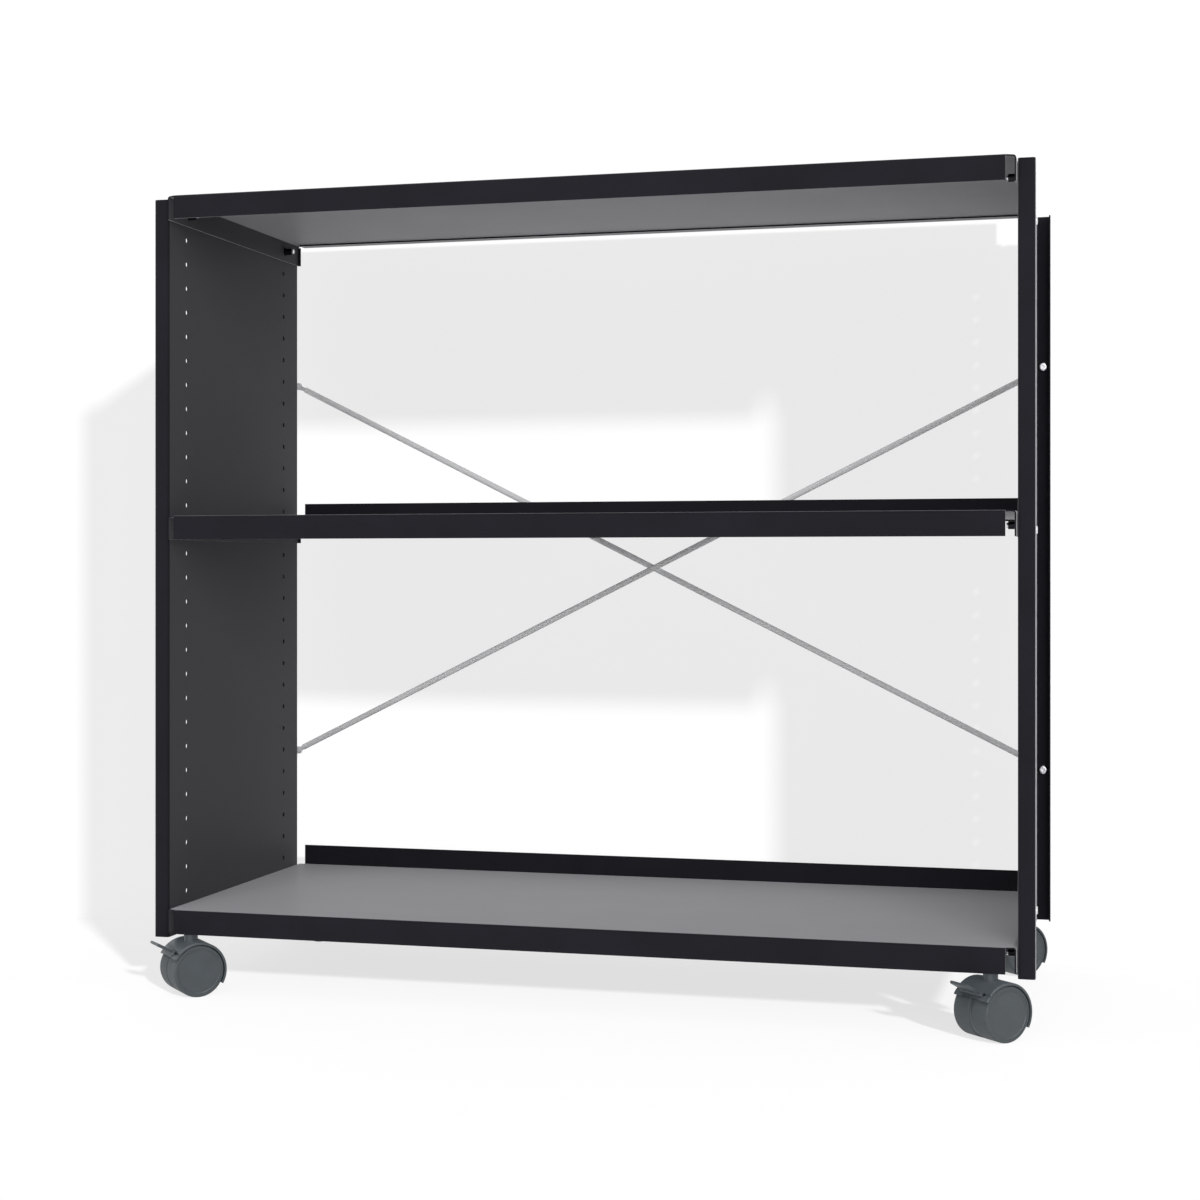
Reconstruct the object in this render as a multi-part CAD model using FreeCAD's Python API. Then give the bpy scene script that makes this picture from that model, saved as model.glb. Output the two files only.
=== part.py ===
import FreeCAD, Part
import math
import os

from FreeCAD import Placement, Rotation, Vector

# A rolling bookcase of folded steel sheet: two lipped side panels with rows of
# holes, three tray shelves with a rear stop each, a rod cross brace at the back
# and four braked twin-wheel swivel casters.
# Millimetres: +X to the right, +Y to the back, +Z up from the floor.

# ---- Sheet metal ----
sheet = 1.5                   # thickness of every folded piece
bend_radius = 3.0             # outside radius of every fold

# ---- Side panels: channels with their web towards the shelves ----
inner_width = 850.0           # between the faces of the two webs
panel_height = 752.0
panel_depth = 332.0
panel_flange = 16.0           # how far the front and back flanges stand out
panel_lip = 12.0              # return along the outer side of each flange
floor_gap = 56.0              # from the floor to the panels' lower edge

# ---- Rows of holes in the webs, and the screws in them ----
hole_radius = 2.75
hole_pitch = 25.0
lowest_hole = 16.5            # above the panels' lower edge
hole_edge = 10.0              # least height of panel above the highest hole
hole_inset = 42.0             # from the panels' front and back faces
middle_rise = 400.0           # middle shelf above the bottom one, to the nearest row

# ---- Tray shelves ----
shelf_gap = 1.0               # from each web to the shelf, filled by the insert heads
shelf_flange = 24.0           # depth of the front and side flanges
screw_drop = 13.0             # from the deck's top down to its screws
front_overhang = 10.0         # front flange's face ahead of the side panels
front_inset = 10.5            # from each web to the end of the front flange
side_setback = 6.0            # front end of the side flanges behind the front flange's face
side_return = 4.0             # fold at the rear end of the side flanges

# ---- Rear stops: an angle under the back edge of each deck ----
stop_height = 22.0            # above the deck
stop_foot = 17.0              # depth of the foot under the deck
stop_inset = 9.5              # from each web to the end of the stop

# ---- Button-head screws, nuts and rivet-nut inserts ----
thread_radius = 2.45
thread_bore = 2.5
screw_head_radius = 4.75
screw_head_height = 2.75
screw_head_round = 1.8
socket_width = 3.0            # across the flats
socket_depth = 1.6
thread_end = 1.5              # how far a screw stands out of its nut or insert
nut_width = 8.0               # across the flats
nut_height = 4.0
insert_head_radius = 5.0
insert_body_radius = 3.8
insert_bulge_radius = 4.8
insert_bulge_length = 2.0
insert_length = 10.0          # under the head
insert_clearance = 0.1        # around its body in the side flange

# ---- Cross brace behind the shelves ----
rod_radius = 3.25
rod_clearance = 0.1           # between the rods where they cross
brace_half_height = 215.5     # brace screws above and below the panels' mid-height
standoff_length = 19.0
standoff_radius = 4.0
eye_radius = 4.25
eye_thickness = 2.0
neck_width = 4.5
neck_straight = 5.4           # from the eye's centre to where the neck slants
neck_end = 9.0                # from the eye's centre to where the round rod starts

# ---- Casters ----
caster_inset = 24.5           # stem axis from the web
stem_inset = 10.5             # stem axis from the deck's front face and back edge
swivel_heading = 225.0        # direction of the brake pedals, in degrees from +X
trail = 1.0                   # wheel axis from the stem axis, away from the pedal
wheel_radius = 26.0
wheel_width = 21.2
wheel_side_gap = 0.3          # between a wheel and the plate between the wheels
tyre_depth = 2.5
tyre_edge = 1.5               # rounding of the tread's two edges
tyre_seat = 0.05              # between the tyre and the hub
hub_setback = 0.3             # hub's rim inside the tyre's faces
hub_rim = 2.0
hub_boss_radius = 7.0
hub_face = 2.0                # thickness of the hub's outer disc
hub_dish = 0.5                # how deep the disc lies inside the rim
axle_radius = 2.5
axle_fit = 0.02               # axle in the plate
running_fit = 0.05            # anything that turns on a pin
end_clearance = 0.3           # end play of pins, and faces that slide past each other

hood_clearance = 0.6          # between the tread and the hood
hood_wall = 2.4
hood_width = 47.0
hood_round = 1.0
hood_open = 29.0              # hood's edge on the pedal side, degrees above the axle
hood_close = 210.0            # hood's edge on the far side
plate_thickness = 3.0         # plate between the wheels
plate_setback = 0.8           # its edge inside the tread
neck_radius = 7.0
neck_top = 63.0               # above the floor
stem_radius = 4.0
stem_engagement = 7.0         # length of the stem in the hood's neck
collar_width = 13.0           # across the flats of the stem's collar
boss_radius = 7.0
boss_length = 16.0
stem_thread_radius = 3.95
stem_thread_length = 14.0

# ---- Brake pedals ----
pedal_width = 22.0
pedal_thickness = 3.0
pedal_reach = 38.5            # tip from the stem axis
pedal_slope = 28.5            # degrees above the horizontal
pedal_barrel_radius = 2.6
pedal_pin_radius = 1.2
pedal_pivot_radius = 29.2     # pedal pin from the wheel axis
pedal_pivot_angle = 41.0      # pedal pin above the wheel axis, in degrees
pedal_tip_round = 1.4
shoe_clearance = 1.4          # between the tread and the released shoe
shoe_thickness = 2.0
shoe_angle = 30.0             # lower end of the shoe above the wheel axis
ear_length = 4.0              # of each of the hood's two ears, along the pin

# ---- Places that follow from the sizes above ----
web_x = inner_width / 2
panel_front = -panel_depth / 2
panel_back = panel_depth / 2
panel_middle = floor_gap + panel_height / 2
row_y = panel_depth / 2 - hole_inset
row_count = int((panel_height - lowest_hole - hole_edge) / hole_pitch) + 1
row_heights = [floor_gap + lowest_hole + row * hole_pitch for row in range(row_count)]
middle_row = round(middle_rise / hole_pitch)
shelf_rows = {"bottom": 0, "middle": middle_row, "top": row_count - 1}
deck_tops = {name: row_heights[row] + screw_drop for name, row in shelf_rows.items()}
shelf_x = web_x - shelf_gap
shelf_front = panel_front - front_overhang
shelf_back = panel_back - bend_radius
brace_x = web_x + panel_flange / 2
eye_y = panel_back + standoff_length + eye_thickness / 2
deck_underside = deck_tops["bottom"] - sheet
foot_underside = deck_underside - sheet
boss_bottom = deck_underside - boss_length
stem_x = web_x - caster_inset
front_stem_y = shelf_front + stem_inset
rear_stem_y = shelf_back - stem_inset
hood_inner = wheel_radius + hood_clearance
hood_outer = hood_inner + hood_wall
pedal_slot = pedal_width / 2 + end_clearance

X_AXIS = Vector(1, 0, 0)
Y_AXIS = Vector(0, 1, 0)
Z_AXIS = Vector(0, 0, 1)


# ---- Shapes used more than once ----

def rounded_path(points, radius):
    """Edges through the points, with each corner rounded to the radius."""
    edges = []
    start = points[0]
    for before, corner, after in zip(points, points[1:], points[2:]):
        arrive = (corner - before).normalize()
        leave = (after - corner).normalize()
        half_turn = arrive.getAngle(leave) / 2
        reach = radius * math.tan(half_turn)
        first = corner - arrive * reach
        last = corner + leave * reach
        inward = (leave - arrive).normalize()
        middle = corner + inward * (radius / math.cos(half_turn) - radius)
        edges.append(Part.makeLine(start, first))
        edges.append(Part.Arc(first, middle, last).toShape())
        start = last
    edges.append(Part.makeLine(start, points[-1]))
    return edges


def folded_sheet(outline, along):
    """Sheet whose outer face follows the outline, extruded by the vector along.

    All folds turn the same way, towards the inner face.
    """
    steps = [(b - a).normalize() for a, b in zip(outline, outline[1:])]
    turn_axis = steps[0].cross(steps[1]).normalize()
    inward = [turn_axis.cross(step) for step in steps]
    inner = [outline[0] + inward[0] * sheet]
    for corner, one, two in zip(outline[1:], inward, inward[1:]):
        inner.append(corner + (one + two) * (sheet / (1 + one.dot(two))))
    inner.append(outline[-1] + inward[-1] * sheet)
    edges = rounded_path(outline, bend_radius)
    edges += rounded_path(inner, bend_radius - sheet)
    edges.append(Part.makeLine(outline[0], inner[0]))
    edges.append(Part.makeLine(outline[-1], inner[-1]))
    section = Part.Face(Part.Wire(Part.__sortEdges__(edges)))
    return section.extrude(along)


def hex_bar(width, length):
    """Hexagonal bar along +Z, width across its flats."""
    sides = 6
    corner_radius = width / 2 / math.cos(math.pi / sides)
    angles = [math.tau * n / sides for n in range(sides + 1)]
    corners = [Vector(math.cos(a), math.sin(a), 0) * corner_radius for a in angles]
    return Part.Face(Part.makePolygon(corners)).extrude(Z_AXIS * length)


def aimed(shape, position, direction):
    """The shape with its origin moved to the position and its +Z turned to the direction."""
    result = shape.copy()
    result.Placement = Placement(position, Rotation(Z_AXIS, direction))
    return result


def button_screw(length):
    """Screw with its head's seat at the origin, and its thread along +Z."""
    head = Part.makeCylinder(screw_head_radius, screw_head_height, Vector(), -Z_AXIS)
    rim = [edge for edge in head.Edges if edge.BoundBox.ZMax < -screw_head_height / 2]
    head = head.makeFillet(screw_head_round, rim)
    thread = Part.makeCylinder(thread_radius, length)
    socket = hex_bar(socket_width, socket_depth)
    socket.translate(-Z_AXIS * screw_head_height)
    return head.fuse(thread).cut(socket)


def tube(outer, inner, length):
    return Part.makeCylinder(outer, length).cut(Part.makeCylinder(inner, length))


# ---- Side panels ----

def side_panel(side):
    """Channel with lips; side is -1 on the left and 1 on the right."""
    web = side * web_x
    outside = side * (web_x + panel_flange)
    plan = [
        (outside, panel_back - panel_lip),
        (outside, panel_back),
        (web, panel_back),
        (web, panel_front),
        (outside, panel_front),
        (outside, panel_front + panel_lip),
    ]
    outline = [Vector(x, y, floor_gap) for x, y in plan]
    panel = folded_sheet(outline, Z_AXIS * panel_height)
    drills = []
    for height in row_heights:
        for y in (-row_y, row_y):
            start = Vector(web - sheet, y, height)
            drills.append(Part.makeCylinder(hole_radius, 2 * sheet, start, X_AXIS))
    for rise in (-brace_half_height, brace_half_height):
        start = Vector(side * brace_x, panel_back - 2 * sheet, panel_middle + rise)
        drills.append(Part.makeCylinder(hole_radius, 3 * sheet, start, Y_AXIS))
    return panel.cut(drills)


# ---- Tray shelves, their stops and fixings ----

def tray_shelf(top):
    """Deck with a front flange, two side flanges and open front corners."""
    side_front = shelf_front + side_setback
    lower = top - shelf_flange
    across = [(-shelf_x, lower), (-shelf_x, top), (shelf_x, top), (shelf_x, lower)]
    outline = [Vector(x, side_front, z) for x, z in across]
    tray = folded_sheet(outline, Y_AXIS * (shelf_back - side_front))

    front_x = web_x - front_inset
    profile = [(shelf_front, lower), (shelf_front, top), (side_front + bend_radius, top)]
    outline = [Vector(-front_x, y, z) for y, z in profile]
    tray = tray.fuse(folded_sheet(outline, X_AXIS * (2 * front_x)))

    drills = []
    for side in (-1, 1):
        corner = [
            Vector(side * front_x, side_front, top - sheet),
            Vector(side * front_x, shelf_front + bend_radius, top - sheet),
            Vector(side * (shelf_x - bend_radius), side_front, top - sheet),
        ]
        gusset = Part.Face(Part.makePolygon(corner + corner[:1])).extrude(Z_AXIS * sheet)
        fold_height = shelf_flange - bend_radius
        fold_x = min(side * shelf_x, side * (shelf_x - side_return))
        fold_start = Vector(fold_x, shelf_back - sheet, lower)
        fold = Part.makeBox(side_return, sheet, fold_height, fold_start)
        tray = tray.fuse([gusset, fold])
        for y in (-row_y, row_y):
            start = Vector(side * shelf_x - sheet * 2, y, top - screw_drop)
            radius = insert_body_radius + insert_clearance
            drills.append(Part.makeCylinder(radius, 4 * sheet, start, X_AXIS))
    return tray.cut(drills).removeSplitter()


def rear_stop(top):
    """Angle with its foot under the deck and its upright behind it."""
    half_length = web_x - stop_inset
    foot_bottom = top - 2 * sheet
    profile = [
        (panel_back - stop_foot, foot_bottom),
        (panel_back, foot_bottom),
        (panel_back, top + stop_height),
    ]
    outline = [Vector(-half_length, y, z) for y, z in profile]
    return folded_sheet(outline, X_AXIS * (2 * half_length))


def rivet_nut():
    """Insert with its head's outer face at the origin, and its body along +Z."""
    head = Part.makeCylinder(insert_head_radius, shelf_gap)
    body = Part.makeCylinder(insert_body_radius, insert_length, Z_AXIS * shelf_gap)
    bulge_start = Z_AXIS * (shelf_gap + sheet)
    bulge = Part.makeCylinder(insert_bulge_radius, insert_bulge_length, bulge_start)
    bore = Part.makeCylinder(thread_bore, shelf_gap + insert_length)
    return head.fuse([body, bulge]).cut(bore)


def at_shelf_corners(shape, top, distance):
    """Four copies at a shelf's holes, distance outside the web's face and aimed inwards."""
    copies = []
    for side in (-1, 1):
        for y in (-row_y, row_y):
            position = Vector(side * (web_x + distance), y, top - screw_drop)
            copies.append(aimed(shape, position, X_AXIS * -side))
    return Part.makeCompound(copies)


# ---- Cross brace ----

def brace_rod(rise, offset):
    """Rod with a flat eye at each end; rise is 1 where it climbs to the right.

    The round part runs beside the plane of the eyes, by the offset along Y.
    """
    left = Vector(-brace_x, eye_y, panel_middle - rise * brace_half_height)
    right = Vector(brace_x, eye_y, panel_middle + rise * brace_half_height)
    shift = Y_AXIS * offset
    along = (right - left).normalize()
    start = left + along * neck_end + shift
    length = (right - left).Length - 2 * neck_end
    rod = Part.makeCylinder(rod_radius, length, start, along)
    for centre, inward in ((left, along), (right, -along)):
        half_wide = inward.cross(Y_AXIS) * (neck_width / 2)
        half_thick = Y_AXIS * (eye_thickness / 2)

        def cross_section(middle):
            corners = [
                middle - half_wide - half_thick,
                middle + half_wide - half_thick,
                middle + half_wide + half_thick,
                middle - half_wide + half_thick,
            ]
            return Part.makePolygon(corners + corners[:1])

        bend = centre + inward * neck_straight
        straight = Part.Face(cross_section(centre)).extrude(bend - centre)
        end = centre + inward * neck_end + shift
        slant = Part.makeLoft([cross_section(bend), cross_section(end)], True, True)
        eye = Part.makeCylinder(eye_radius, eye_thickness, centre - half_thick, Y_AXIS)
        hole_start = centre - Y_AXIS * eye_thickness
        hole = Part.makeCylinder(hole_radius, 2 * eye_thickness, hole_start, Y_AXIS)
        rod = rod.fuse([eye.fuse(straight).cut(hole), slant])
    return rod.removeSplitter()


def at_brace_corners(shape, y):
    """Four copies at the brace's corners, aimed to the back."""
    copies = []
    for side in (-1, 1):
        for rise in (-brace_half_height, brace_half_height):
            position = Vector(side * brace_x, y, panel_middle + rise)
            copies.append(aimed(shape, position, Y_AXIS))
    return Part.makeCompound(copies)


# ---- Casters ----
# Their pieces are drawn in the plane of the wheel: the wheel axis is the origin
# and +Z, the pedal side is +X, and up is +Y. Then set_up stands them upright.

def disc(radius, width):
    """Disc on the wheel axis, centred on the plate between the wheels."""
    return Part.makeCylinder(radius, width, Z_AXIS * (-width / 2))


def sector(radius, width, start, end):
    """Slice of a disc between two angles in degrees."""
    piece = Part.makeCylinder(radius, width, Z_AXIS * (-width / 2), Z_AXIS, end - start)
    piece.rotate(Vector(), Z_AXIS, start)
    return piece


def upright(radius, lower, upper):
    """Round bar on the stem axis between two heights above the floor."""
    start = Vector(trail, lower - wheel_radius, 0)
    return Part.makeCylinder(radius, upper - lower, start, Y_AXIS)


def on_pedal_pin(radius, width):
    """Round bar on the axis of the pedal pin."""
    angle = math.radians(pedal_pivot_angle)
    centre = Vector(math.cos(angle), math.sin(angle), 0) * pedal_pivot_radius
    return Part.makeCylinder(radius, width, centre - Z_AXIS * (width / 2))


def caster_hood():
    """Hood over both wheels, with the plate between them, the neck and two ears."""
    hood = sector(hood_outer, hood_width, hood_open, hood_close)
    rims = [
        edge for edge in hood.Edges
        if edge.Curve.TypeId == "Part::GeomCircle" and edge.Curve.Radius > hood_inner
    ]
    hood = hood.makeFillet(hood_round, rims)
    ears = on_pedal_pin(pedal_barrel_radius, 2 * (pedal_slot + ear_length))
    neck = upright(neck_radius, wheel_radius, neck_top)
    hood = hood.fuse([neck, ears]).cut(disc(hood_inner, hood_width))

    barrel_turn = math.degrees((pedal_barrel_radius + end_clearance) / pedal_pivot_radius)
    slot_end = pedal_pivot_angle + barrel_turn
    slot = sector(2 * hood_outer, 2 * pedal_slot, 0, slot_end)
    plate = sector(hood_outer - hood_round, plate_thickness, slot_end, hood_close)
    plate = plate.fuse(disc(wheel_radius - plate_setback, plate_thickness))
    hood = hood.cut(slot).fuse(plate)

    stem_bore = upright(stem_radius + running_fit, neck_top - stem_engagement, neck_top)
    axle_bore = disc(axle_radius + axle_fit, plate_thickness)
    pin_bore = on_pedal_pin(pedal_pin_radius + axle_fit, hood_width)
    return hood.cut([stem_bore, axle_bore, pin_bore]).removeSplitter()


def wheel_hub():
    """Hollow hub on the +Z side of the plate, open towards the plate."""
    inner_face = plate_thickness / 2 + wheel_side_gap + hub_setback
    outer_face = inner_face + wheel_width - 2 * hub_setback
    dish = outer_face - hub_dish
    hollow_end = dish - hub_face
    rim_outer = wheel_radius - tyre_depth - tyre_seat
    rim_inner = rim_outer - hub_rim
    bore = axle_radius + running_fit
    half_section = [
        (0, hollow_end),
        (bore, hollow_end),
        (bore, inner_face),
        (hub_boss_radius, inner_face),
        (hub_boss_radius, hollow_end),
        (rim_inner, hollow_end),
        (rim_inner, inner_face),
        (rim_outer, inner_face),
        (rim_outer, outer_face),
        (rim_inner + hub_dish, outer_face),
        (rim_inner, dish),
        (0, dish),
    ]
    outline = [Vector(radius, 0, z) for radius, z in half_section]
    return Part.Face(Part.makePolygon(outline + outline[:1])).revolve(Vector(), Z_AXIS, 360)


def wheel_tyre():
    """Tyre on the +Z side of the plate."""
    ring = tube(wheel_radius, wheel_radius - tyre_depth, wheel_width)
    edges = [
        edge for edge in ring.Edges
        if edge.Closed and edge.Curve.Radius > wheel_radius - tyre_edge
    ]
    ring = ring.makeFillet(tyre_edge, edges)
    ring.translate(Z_AXIS * (plate_thickness / 2 + wheel_side_gap))
    return ring


def wheel_axle():
    inner_face = plate_thickness / 2 + wheel_side_gap
    hollow_end = inner_face + wheel_width - hub_setback - hub_dish - hub_face
    return disc(axle_radius, 2 * (hollow_end - end_clearance))


def brake_pedal():
    """Pedal blade, the barrel on its pin, and the shoe behind the tread."""
    slope = math.radians(pedal_slope)
    outward = Vector(math.cos(slope), math.sin(slope), 0)
    angle = math.radians(pedal_pivot_angle)
    pivot = Vector(math.cos(angle), math.sin(angle), 0) * pedal_pivot_radius
    blade_length = (pedal_reach + trail - pivot.x) / outward.x
    blade = Part.makeBox(blade_length, pedal_thickness, pedal_width)
    tip = [
        edge for edge in blade.Edges
        if edge.BoundBox.XMin > blade_length / 2 and edge.BoundBox.ZLength > pedal_width / 2
    ]
    blade = blade.makeFillet(pedal_tip_round, tip)
    blade.translate(Vector(0, -pedal_thickness / 2, -pedal_width / 2))
    blade.rotate(Vector(), Z_AXIS, pedal_slope)
    blade.translate(pivot)
    barrel = on_pedal_pin(pedal_barrel_radius, pedal_width)
    shoe_inner = wheel_radius + shoe_clearance
    shoe = sector(shoe_inner + shoe_thickness, pedal_width, shoe_angle, pedal_pivot_angle)
    shoe = shoe.cut(disc(shoe_inner, pedal_width))
    bore = on_pedal_pin(pedal_pin_radius + running_fit, pedal_width)
    return barrel.fuse([blade, shoe]).cut(bore)


def pedal_pin():
    return on_pedal_pin(pedal_pin_radius, 2 * (pedal_slot + ear_length))


def caster_stem():
    """Pin that turns in the hood's neck, a hexagonal collar and a thread above it."""
    collar_bottom = neck_top + end_clearance
    pin = upright(stem_radius, neck_top - stem_engagement + end_clearance, boss_bottom)
    thread = upright(stem_thread_radius, boss_bottom, boss_bottom + stem_thread_length)
    collar = hex_bar(collar_width, boss_bottom - collar_bottom)
    collar_start = Vector(trail, collar_bottom - wheel_radius, 0)
    return pin.fuse([aimed(collar, collar_start, Y_AXIS), thread])


def caster_boss(top):
    """Welded boss, threaded right through, up to the underside that carries it."""
    return upright(boss_radius, boss_bottom, top).cut(upright(stem_radius, boss_bottom, top))


def mirrored(shape):
    """The piece turned over to the other side of the plate between the wheels."""
    return shape.mirror(Vector(), Z_AXIS)


def set_up(shape, x, y):
    """Stand a caster piece upright, with its stem axis at x, y."""
    result = shape.copy()
    result.rotate(Vector(), X_AXIS, 90)
    result.translate(Vector(-trail, 0, wheel_radius))
    result.rotate(Vector(), Z_AXIS, swivel_heading)
    result.translate(Vector(x, y, 0))
    return result


# ---- The pieces, by node name ----

pieces = {
    "left_side_panel": side_panel(-1),
    "right_side_panel": side_panel(1),
}

screw_length = sheet + shelf_gap + insert_length + thread_end
for name, top in deck_tops.items():
    pieces[f"{name}_shelf"] = tray_shelf(top)
    pieces[f"{name}_rear_stop"] = rear_stop(top)
    pieces[f"{name}_shelf_inserts"] = at_shelf_corners(rivet_nut(), top, 0)
    pieces[f"{name}_shelf_screws"] = at_shelf_corners(button_screw(screw_length), top, sheet)

rod_offset = rod_radius + rod_clearance / 2
pieces["rising_brace_rod"] = brace_rod(1, -rod_offset)
pieces["falling_brace_rod"] = brace_rod(-1, rod_offset)
standoff = tube(standoff_radius, hole_radius, standoff_length)
pieces["brace_standoffs"] = at_brace_corners(standoff, panel_back)
nut = hex_bar(nut_width, nut_height).cut(Part.makeCylinder(thread_bore, nut_height))
pieces["brace_nuts"] = at_brace_corners(nut, eye_y + eye_thickness / 2)
brace_stack = sheet + standoff_length + eye_thickness + nut_height + thread_end
pieces["brace_screws"] = at_brace_corners(button_screw(brace_stack), panel_back - sheet)

hub = wheel_hub()
tyre = wheel_tyre()
caster_pieces = {
    "stem": caster_stem(),
    "hood": caster_hood(),
    "axle": wheel_axle(),
    "hub_a": hub,
    "tyre_a": tyre,
    "hub_b": mirrored(hub),
    "tyre_b": mirrored(tyre),
    "pedal": brake_pedal(),
    "pedal_pin": pedal_pin(),
}
casters = {
    "front_left": (-stem_x, front_stem_y, deck_underside),
    "front_right": (stem_x, front_stem_y, deck_underside),
    "rear_left": (-stem_x, rear_stem_y, foot_underside),
    "rear_right": (stem_x, rear_stem_y, foot_underside),
}
for corner, (x, y, underside) in casters.items():
    pieces[f"{corner}_caster_boss"] = set_up(caster_boss(underside), x, y)
    for name, shape in caster_pieces.items():
        pieces[f"{corner}_caster_{name}"] = set_up(shape, x, y)

# ---- The origin: on the floor, under the middle of the whole bookcase ----

whole = Part.makeCompound(list(pieces.values())).optimalBoundingBox(False, False)
to_origin = Vector(-whole.Center.x, -whole.Center.y, 0)

os.makedirs("parts", exist_ok=True)
for name, shape in pieces.items():
    shape.translate(to_origin)
    shape.exportStep(f"parts/{name}.step")
    assert shape.isValid(), name

print("pieces:", len(pieces))
print("moved to the origin by:", round(to_origin.x, 3), round(to_origin.y, 3))
print("size:", [round(length, 2) for length in (whole.XLength, whole.YLength, whole.ZLength)])
print("lowest point:", round(whole.ZMin, 4))
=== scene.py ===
import math

import bpy
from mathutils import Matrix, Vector

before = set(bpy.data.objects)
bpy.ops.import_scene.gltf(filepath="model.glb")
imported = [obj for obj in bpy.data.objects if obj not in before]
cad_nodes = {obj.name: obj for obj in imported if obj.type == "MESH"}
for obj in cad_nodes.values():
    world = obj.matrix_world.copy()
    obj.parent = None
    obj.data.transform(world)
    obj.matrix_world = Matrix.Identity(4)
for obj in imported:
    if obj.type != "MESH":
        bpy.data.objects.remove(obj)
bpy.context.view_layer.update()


# ---- Side panels ----
# Two channels of 1.5 mm steel sheet with two rows of punched holes each. Folded on a
# press brake, powder coated black and baked; the shelves and the brace bolt to them.

mm = 0.001


def colour(code):
    """Linear red, green, blue and alpha of an sRGB hex colour."""
    shares = [int(code[start : start + 2], 16) / 255 for start in (1, 3, 5)]
    return [s / 12.92 if s <= 0.04045 else ((s + 0.055) / 1.055) ** 2.4 for s in shares] + [1]


def add_node(tree, kind, inputs=None, **settings):
    """A new node with its settings; each input is a value, or the output that feeds it."""
    node = tree.nodes.new(kind)
    for name, value in settings.items():
        setattr(node, name, value)
    for name, value in (inputs or {}).items():
        if isinstance(value, bpy.types.NodeSocket):
            tree.links.new(value, node.inputs[name])
        else:
            node.inputs[name].default_value = value
    return node


def start_material(name):
    """A new material, the tree for its nodes, and places on its piece in metres."""
    material = bpy.data.materials.new(name)
    material.use_nodes = True
    tree = material.node_tree
    tree.nodes.clear()
    place = add_node(tree, "ShaderNodeTexCoord").outputs["Object"]
    return material, tree, place


def dress(names, material):
    """Put a finish on the CAD nodes of these names."""
    for name in names:
        for part in cad_nodes[name].material_slots:
            part.material = material


# Polyester powder on steel, baked to a satin black: nearly black face on, pale and soft
# where it is seen at a low angle, with a faint orange peel and slow changes in gloss.
powder_coat, tree, place = start_material("black_powder_coat_satin")
noise_low, noise_high = 0.3, 0.7        # most of a noise pattern lies between these
cloud = 70 * mm                         # slow changes in the coat's thickness
coat_smooth, coat_rough = 0.37, 0.43    # satin
peel = 3.0 * mm                         # real orange peel, 1.5 mm across, is too fine to show
peel_depth = 0.02 * mm
clouds = add_node(
    tree, "ShaderNodeTexNoise", {"Vector": place, "Scale": 1 / cloud, "Detail": 3},
)
shade = add_node(tree, "ShaderNodeValToRGB", {"Fac": clouds.outputs["Fac"]})
shade.color_ramp.elements[0].position = noise_low
shade.color_ramp.elements[0].color = colour("#222126")
shade.color_ramp.elements[1].position = noise_high
shade.color_ramp.elements[1].color = colour("#26252b")
gloss = add_node(
    tree, "ShaderNodeMapRange",
    {
        "Value": clouds.outputs["Fac"],
        "From Min": noise_low, "From Max": noise_high,
        "To Min": coat_smooth, "To Max": coat_rough,
    },
)
peels = add_node(
    tree, "ShaderNodeTexNoise", {"Vector": place, "Scale": 1 / peel, "Detail": 1},
)
skin = add_node(
    tree, "ShaderNodeBump",
    {"Height": peels.outputs["Fac"], "Distance": peel_depth, "Strength": 1},
)
shader = add_node(
    tree, "ShaderNodeBsdfPrincipled",
    {
        "Base Color": shade.outputs["Color"],
        "Roughness": gloss.outputs["Result"],
        "Normal": skin.outputs["Normal"],
        "IOR": 1.06,              # hardly a mirror; the sheen gives the pale low angles
        "Sheen Weight": 0.9,
        "Sheen Roughness": 0.35,
        "Sheen Tint": colour("#fafaff"),
    },
)
add_node(tree, "ShaderNodeOutputMaterial", {"Surface": shader.outputs["BSDF"]})
dress(["left_side_panel", "right_side_panel"], powder_coat)


# ---- Shelves and their rear stops ----
# Three shallow trays of the same sheet with a front flange and two side flanges, and
# behind each an angle whose foot is spot welded under the deck to stop the books.

shelf_names = ["bottom", "middle", "top"]
for name in shelf_names:
    dress([f"{name}_shelf", f"{name}_rear_stop"], powder_coat)


# ---- Rivet nuts ----
# Four threaded steel inserts in each shelf's side flanges, crimped behind the sheet.
# Barrel plated in black zinc, so they hardly show beside the coat.

black_zinc, tree, place = start_material("black_zinc_plate_barrelled")
scuff = 1.5 * mm                          # marks from tumbling in the barrel
scuff_low = 0.35                          # noise below this leaves the plate at its darkest
plate_smooth, plate_rough = 0.3, 0.45
scuffs = add_node(
    tree, "ShaderNodeTexNoise", {"Vector": place, "Scale": 1 / scuff, "Detail": 2},
)
shade = add_node(tree, "ShaderNodeValToRGB", {"Fac": scuffs.outputs["Fac"]})
shade.color_ramp.elements[0].position = scuff_low
shade.color_ramp.elements[0].color = colour("#232326")
shade.color_ramp.elements[1].position = noise_high
shade.color_ramp.elements[1].color = colour("#3a3a3f")
gloss = add_node(
    tree, "ShaderNodeMapRange",
    {
        "Value": scuffs.outputs["Fac"],
        "From Min": noise_low, "From Max": noise_high,
        "To Min": plate_smooth, "To Max": plate_rough,
    },
)
shader = add_node(
    tree, "ShaderNodeBsdfPrincipled",
    {
        "Base Color": shade.outputs["Color"],
        "Roughness": gloss.outputs["Result"],
        "Metallic": 1,
    },
)
add_node(tree, "ShaderNodeOutputMaterial", {"Surface": shader.outputs["BSDF"]})
dress([f"{name}_shelf_inserts" for name in shelf_names], black_zinc)


# ---- Shelf screws ----
# Twelve M5 button-head socket screws through the webs into the rivet nuts. Cold headed
# and bright zinc plated, which makes them the palest things on the black panels.

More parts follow.
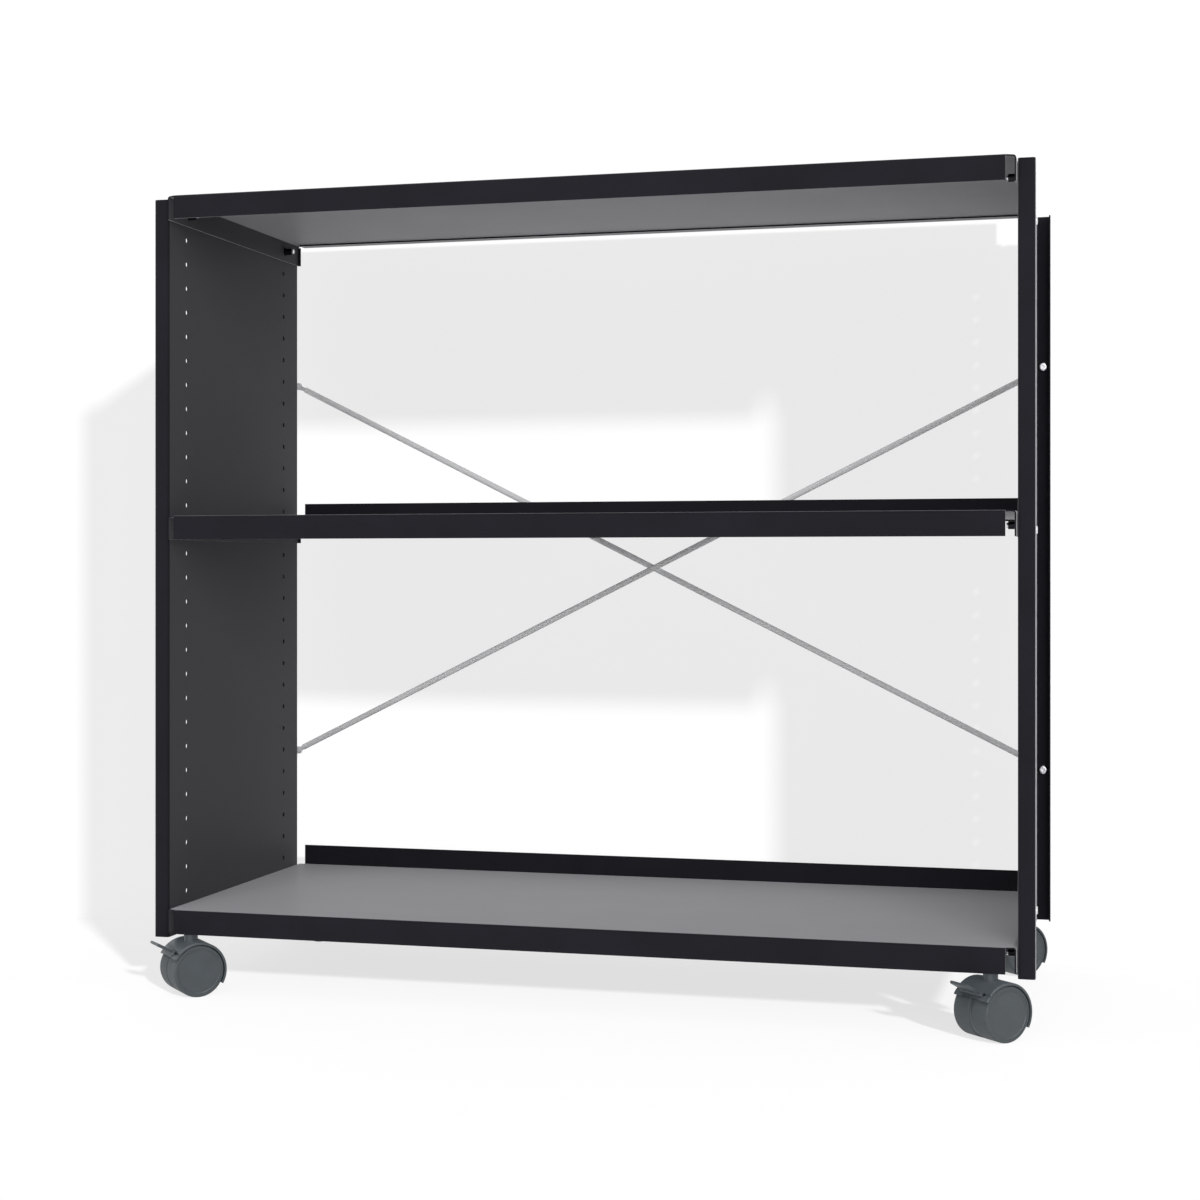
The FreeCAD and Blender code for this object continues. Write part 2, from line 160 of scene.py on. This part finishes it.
bright_zinc, tree, place = start_material("bright_zinc_plated_screw_steel")
grain = 1.0 * mm                          # fine turning and plating marks
screw_smooth, screw_rough = 0.25, 0.4
grains = add_node(
    tree, "ShaderNodeTexNoise", {"Vector": place, "Scale": 1 / grain, "Detail": 2},
)
shade = add_node(tree, "ShaderNodeValToRGB", {"Fac": grains.outputs["Fac"]})
shade.color_ramp.elements[0].position = noise_low
shade.color_ramp.elements[0].color = colour("#dfe0e4")
shade.color_ramp.elements[1].position = noise_high
shade.color_ramp.elements[1].color = colour("#f1f2f5")
gloss = add_node(
    tree, "ShaderNodeMapRange",
    {
        "Value": grains.outputs["Fac"],
        "From Min": noise_low, "From Max": noise_high,
        "To Min": screw_smooth, "To Max": screw_rough,
    },
)
shader = add_node(
    tree, "ShaderNodeBsdfPrincipled",
    {
        "Base Color": shade.outputs["Color"],
        "Roughness": gloss.outputs["Result"],
        "Metallic": 1,
    },
)
add_node(tree, "ShaderNodeOutputMaterial", {"Surface": shader.outputs["BSDF"]})
dress([f"{name}_shelf_screws" for name in shelf_names], bright_zinc)


# ---- Cross brace ----
# Two 6.5 mm drawn steel rods with pressed flat eyes, crossed behind the shelves, on
# four tube standoffs. Rods and tubes are dipped, then baked, in a paint of zinc flakes,
# which dries to a matt silver grey. A bright zinc screw and nut hold each corner.

zinc_flake, tree, place = start_material("zinc_flake_coat_matt_silver")
drift = 45 * mm                           # slow change of the coat's tone along the rod
streak = 1.2 * mm                         # drawing lines under the coat
flake_smooth, flake_rough = 0.72, 0.8     # matt
drifts = add_node(
    tree, "ShaderNodeTexNoise", {"Vector": place, "Scale": 1 / drift, "Detail": 2},
)
streaks = add_node(
    tree, "ShaderNodeTexNoise", {"Vector": place, "Scale": 1 / streak, "Detail": 2},
)
shade = add_node(tree, "ShaderNodeValToRGB", {"Fac": drifts.outputs["Fac"]})
shade.color_ramp.elements[0].position = noise_low
shade.color_ramp.elements[0].color = colour("#e9eaeb")
shade.color_ramp.elements[1].position = noise_high
shade.color_ramp.elements[1].color = colour("#f1f2f3")
gloss = add_node(
    tree, "ShaderNodeMapRange",
    {
        "Value": streaks.outputs["Fac"],
        "From Min": noise_low, "From Max": noise_high,
        "To Min": flake_smooth, "To Max": flake_rough,
    },
)
shader = add_node(
    tree, "ShaderNodeBsdfPrincipled",
    {
        "Base Color": shade.outputs["Color"],
        "Roughness": gloss.outputs["Result"],
        "Metallic": 0,            # the flakes lie in a binder, so it looks like paint
        "IOR": 1.5,
    },
)
add_node(tree, "ShaderNodeOutputMaterial", {"Surface": shader.outputs["BSDF"]})
dress(["rising_brace_rod", "falling_brace_rod", "brace_standoffs"], zinc_flake)
dress(["brace_screws", "brace_nuts"], bright_zinc)


# ---- Caster bosses and stems ----
# A threaded steel boss welded under each corner of the bottom deck and coated with it,
# and a black zinc plated stem with a hexagonal collar screwed up into it.

corners = ["front_left", "front_right", "rear_left", "rear_right"]
dress([f"{corner}_caster_boss" for corner in corners], powder_coat)
dress([f"{corner}_caster_stem" for corner in corners], black_zinc)


# ---- Caster hoods, hubs and pedals ----
# Injection moulded nylon filled with glass fibre, slate grey right through, with the
# fine spark-eroded grain of its mould, which leaves it between satin and matt. The axle
# and the pedal's pin are black zinc plated steel.

slate_nylon, tree, place = start_material("slate_nylon_spark_grain")
flow = 14 * mm                            # flow marks from moulding
nylon_smooth, nylon_rough = 0.36, 0.46
spark = 0.8 * mm                          # real grain, 0.1 mm across, is too fine to show
spark_depth = 0.012 * mm
flows = add_node(
    tree, "ShaderNodeTexNoise", {"Vector": place, "Scale": 1 / flow, "Detail": 2},
)
shade = add_node(tree, "ShaderNodeValToRGB", {"Fac": flows.outputs["Fac"]})
shade.color_ramp.elements[0].position = noise_low
shade.color_ramp.elements[0].color = colour("#3d4347")
shade.color_ramp.elements[1].position = noise_high
shade.color_ramp.elements[1].color = colour("#43494d")
gloss = add_node(
    tree, "ShaderNodeMapRange",
    {
        "Value": flows.outputs["Fac"],
        "From Min": noise_low, "From Max": noise_high,
        "To Min": nylon_smooth, "To Max": nylon_rough,
    },
)
sparks = add_node(
    tree, "ShaderNodeTexNoise", {"Vector": place, "Scale": 1 / spark, "Detail": 1},
)
skin = add_node(
    tree, "ShaderNodeBump",
    {"Height": sparks.outputs["Fac"], "Distance": spark_depth, "Strength": 1},
)
shader = add_node(
    tree, "ShaderNodeBsdfPrincipled",
    {
        "Base Color": shade.outputs["Color"],
        "Roughness": gloss.outputs["Result"],
        "Normal": skin.outputs["Normal"],
        "IOR": 1.5,
    },
)
add_node(tree, "ShaderNodeOutputMaterial", {"Surface": shader.outputs["BSDF"]})
for corner in corners:
    moulded = ("hood", "hub_a", "hub_b", "pedal")
    dress([f"{corner}_caster_{piece}" for piece in moulded], slate_nylon)
    dress([f"{corner}_caster_{piece}" for piece in ("axle", "pedal_pin")], black_zinc)


# ---- Tyres ----
# A soft slate-grey tread moulded over each hub, matt, so that it grips and rolls
# quietly and marks no floor.

tread_rubber, tree, place = start_material("slate_thermoplastic_rubber_matt")
scrub = 2.0 * mm                          # scuffs from rolling
scrub_depth = 0.05 * mm
tread_rough = 0.65
scrubs = add_node(
    tree, "ShaderNodeTexNoise", {"Vector": place, "Scale": 1 / scrub, "Detail": 3},
)
shade = add_node(tree, "ShaderNodeValToRGB", {"Fac": scrubs.outputs["Fac"]})
shade.color_ramp.elements[0].position = noise_low
shade.color_ramp.elements[0].color = colour("#3f4548")
shade.color_ramp.elements[1].position = noise_high
shade.color_ramp.elements[1].color = colour("#464c4f")
skin = add_node(
    tree, "ShaderNodeBump",
    {"Height": scrubs.outputs["Fac"], "Distance": scrub_depth, "Strength": 1},
)
shader = add_node(
    tree, "ShaderNodeBsdfPrincipled",
    {
        "Base Color": shade.outputs["Color"],
        "Roughness": tread_rough,
        "Normal": skin.outputs["Normal"],
        "IOR": 1.5,
    },
)
add_node(tree, "ShaderNodeOutputMaterial", {"Surface": shader.outputs["BSDF"]})
for corner in corners:
    dress([f"{corner}_caster_tyre_a", f"{corner}_caster_tyre_b"], tread_rubber)


# ---- Floor and wall ----
# A plain white studio floor, and a white wall board close behind the bookcase. The
# board shows only from the front, and only to the camera, so it shades nothing.

floor_half = 12.0
wall_y = 0.215
wall_left = -1.6
wall_right = 1.2
wall_top = 2.0


def studio_sheet(name, points):
    """A flat sheet between four corners, not yet painted."""
    mesh = bpy.data.meshes.new(name)
    mesh.from_pydata(points, [], [(0, 1, 2, 3)])
    sheet = bpy.data.objects.new(name, mesh)
    bpy.context.scene.collection.objects.link(sheet)
    return sheet


def looked_at(tree):
    """1 for a look from the camera, a reflection or through glass, 0 for other light."""
    path = add_node(tree, "ShaderNodeLightPath").outputs
    look = path["Is Camera Ray"]
    for ray in ("Is Glossy Ray", "Is Transmission Ray"):
        look = add_node(
            tree, "ShaderNodeMath", {0: look, 1: path[ray]}, operation="MAXIMUM",
        ).outputs[0]
    return look


floor = studio_sheet(
    "studio_floor",
    [(-floor_half, -floor_half, 0), (floor_half, -floor_half, 0),
     (floor_half, floor_half, 0), (-floor_half, floor_half, 0)],
)
wall = studio_sheet(
    "studio_wall",
    [(wall_left, wall_y, 0), (wall_right, wall_y, 0),
     (wall_right, wall_y, wall_top), (wall_left, wall_y, wall_top)],
)

# Each has a glow that lifts it to white where the key lamp falls on it as well, and to a
# pale grey in the bookcase's shadow. To other light the floor is a mid grey, so that it
# throws little up under the shelves.
floor_glow, floor_paint, floor_bounce = 0.72, "#797979", "#b8b8b8"
wall_glow, wall_paint = 0.791, "#595959"
for sheet, lift, paint in ((floor, floor_glow, floor_paint), (wall, wall_glow, wall_paint)):
    white, tree, _ = start_material(f"white_paint_{sheet.name}")
    lit = add_node(tree, "ShaderNodeBsdfDiffuse", {"Color": colour(paint)})
    glow = add_node(tree, "ShaderNodeEmission", {"Strength": lift})
    seen = add_node(tree, "ShaderNodeAddShader", {0: lit.outputs[0], 1: glow.outputs[0]})
    if sheet is floor:
        look = looked_at(tree)
        unseen = add_node(tree, "ShaderNodeBsdfDiffuse", {"Color": colour(floor_bounce)})
    else:
        camera_look = add_node(tree, "ShaderNodeLightPath").outputs["Is Camera Ray"]
        behind = add_node(tree, "ShaderNodeNewGeometry").outputs["Backfacing"]
        look = add_node(
            tree, "ShaderNodeMath", {0: camera_look, 1: behind},
            operation="SUBTRACT", use_clamp=True,
        ).outputs[0]
        unseen = add_node(tree, "ShaderNodeBsdfTransparent")
    both = add_node(
        tree, "ShaderNodeMixShader",
        {"Fac": look, 1: unseen.outputs[0], 2: seen.outputs[0]},
    )
    add_node(tree, "ShaderNodeOutputMaterial", {"Surface": both.outputs[0]})
    sheet.data.materials.append(white)


# ---- Light ----
# A white room all round, and a wide soft lamp in front. A key lamp, high at the front
# right, falls on the floor and the wall alone, and gives them the bookcase's shadow,
# without the thin brace rods. A low fill reaches the casters under the bottom shelf.

room_strength = 0.5
world = bpy.data.worlds.new("white_room")
world.use_nodes = True
tree = world.node_tree
tree.nodes.clear()
strength = add_node(
    tree, "ShaderNodeMapRange",
    {"Value": looked_at(tree), "To Min": room_strength, "To Max": 1},
)
room = add_node(
    tree, "ShaderNodeBackground",
    {"Color": [1, 1, 1, 1], "Strength": strength.outputs["Result"]},
)
add_node(tree, "ShaderNodeOutputWorld", {"Surface": room.outputs[0]})
bpy.context.scene.world = world


def sun_lamp(name, energy, angle, direction):
    """A distant lamp; angle is how wide it looks, in degrees."""
    data = bpy.data.lights.new(name, "SUN")
    data.energy = energy
    data.angle = math.radians(angle)
    lamp = bpy.data.objects.new(name, data)
    lamp.rotation_euler = Vector(direction).to_track_quat("-Z", "Y").to_euler()
    bpy.context.scene.collection.objects.link(lamp)
    return lamp


def piece_set(name, pieces):
    """A collection of the pieces that a lamp lights, or that shade it."""
    collection = bpy.data.collections.new(name)
    for piece in pieces:
        collection.objects.link(piece)
    return collection


front = sun_lamp("soft_front", energy=2.05, angle=66, direction=(-0.15, 0.98, -0.1))
front.light_linking.receiver_collection = piece_set(
    "lit_by_soft_front", [*cad_nodes.values(), floor],
)

key = sun_lamp("soft_key", energy=8.1, angle=3, direction=(-0.772, 1.0, -0.48))
key.light_linking.receiver_collection = piece_set("lit_by_soft_key", [floor, wall])
key.light_linking.blocker_collection = piece_set(
    "shading_soft_key",
    [node for name, node in cad_nodes.items() if not name.endswith("_brace_rod")],
)

fill = sun_lamp("low_fill", energy=2.2, angle=50, direction=(-0.05, 0.25, -1.0))
casters = piece_set(
    "lit_by_low_fill",
    [
        node for name, node in cad_nodes.items()
        if "_caster_" in name and not name.endswith("_boss")
    ],
)
fill.light_linking.receiver_collection = casters
fill.light_linking.blocker_collection = casters


# ---- Camera ----
# Level with the middle of the bookcase, a little to its right, and turned towards it.

heading = math.radians(14.515)
camera_data = bpy.data.cameras.new("camera")
camera_data.sensor_width = 36
camera_data.lens = 61.6
camera_data.shift_x = -0.00736
camera_data.shift_y = -0.02676
camera = bpy.data.objects.new("camera", camera_data)
camera.location = (0.5338, -2.0753, 0.4325)
camera.rotation_euler = (math.radians(90), 0, heading)
bpy.context.scene.collection.objects.link(camera)
bpy.context.scene.camera = camera
bpy.context.scene.view_settings.view_transform = "Standard"
